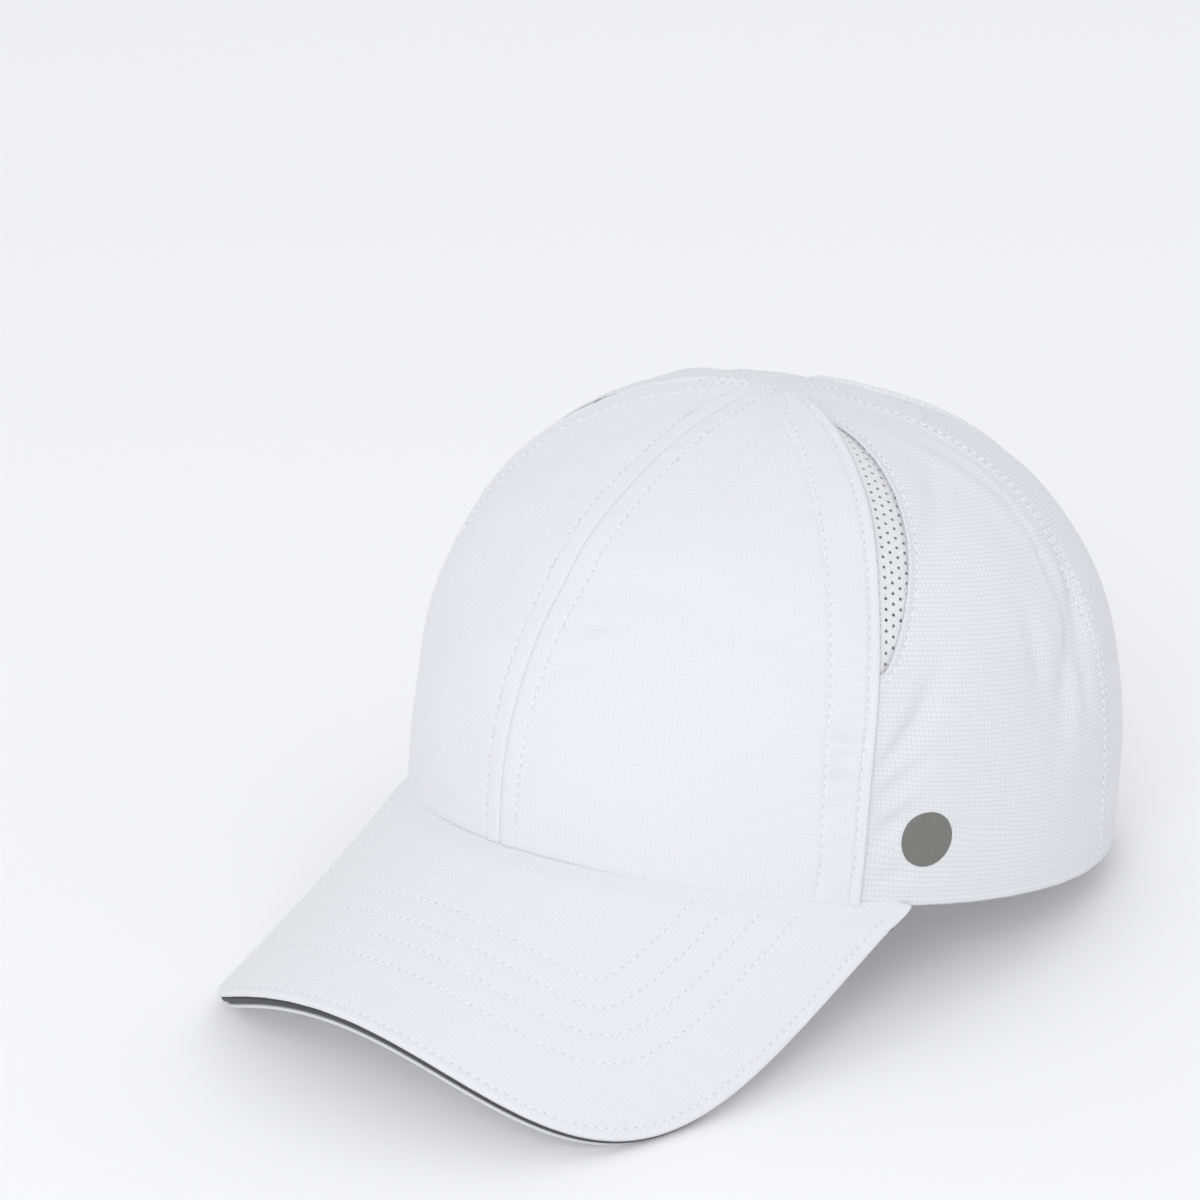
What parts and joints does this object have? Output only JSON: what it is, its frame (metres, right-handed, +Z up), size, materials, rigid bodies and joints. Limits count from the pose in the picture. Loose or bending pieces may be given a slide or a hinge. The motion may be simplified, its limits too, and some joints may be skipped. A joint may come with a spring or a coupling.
{
  "type": "ponytail baseball cap",
  "caption": "Soft panelled sports cap with an arched brim, mesh side vents and a tall teardrop opening at the back for a ponytail, closed by an overlapping tab.",
  "frame": {"origin": "middle of the footprint, on the surface that the cap rests on", "axes": "+Z up from that surface, -Y the way the brim points, +X the wearer's left"},
  "size_m": [0.1726, 0.256, 0.1289],
  "materials": {
    "crown_cloth": "thin white woven cloth with a fine square grid, matt",
    "brim_cloth": "the same white woven cloth over a stiff board",
    "vent_mesh": "white knitted mesh with small round holes",
    "binding_tape": "smooth white folded tape",
    "sweatband_mesh": "pale knitted mesh band",
    "hook_and_loop": "white hook-and-loop tape",
    "label_cloth": "ivory folded woven ribbon",
    "badge_film": "dark grey bonded film, slightly reflective",
    "brim_trim_cloth": "dark grey edge piping"
  },
  "bodies": {
    "root": {"front_panel_left": "crown_cloth", "front_panel_right": "crown_cloth", "side_panel_left": "crown_cloth", "side_panel_right": "crown_cloth", "back_panel_left": "crown_cloth", "back_panel_right": "crown_cloth", "mesh_vent_left": "vent_mesh", "mesh_vent_right": "vent_mesh", "opening_binding": "binding_tape", "closure_pad": "hook_and_loop", "tab_label": "label_cloth", "sweatband": "sweatband_mesh", "front_seam_tape": "binding_tape", "side_badge": "badge_film", "brim_upper": "brim_cloth", "brim_trim": "brim_trim_cloth", "brim_lower": "brim_cloth"}
  },
  "joints": []
}
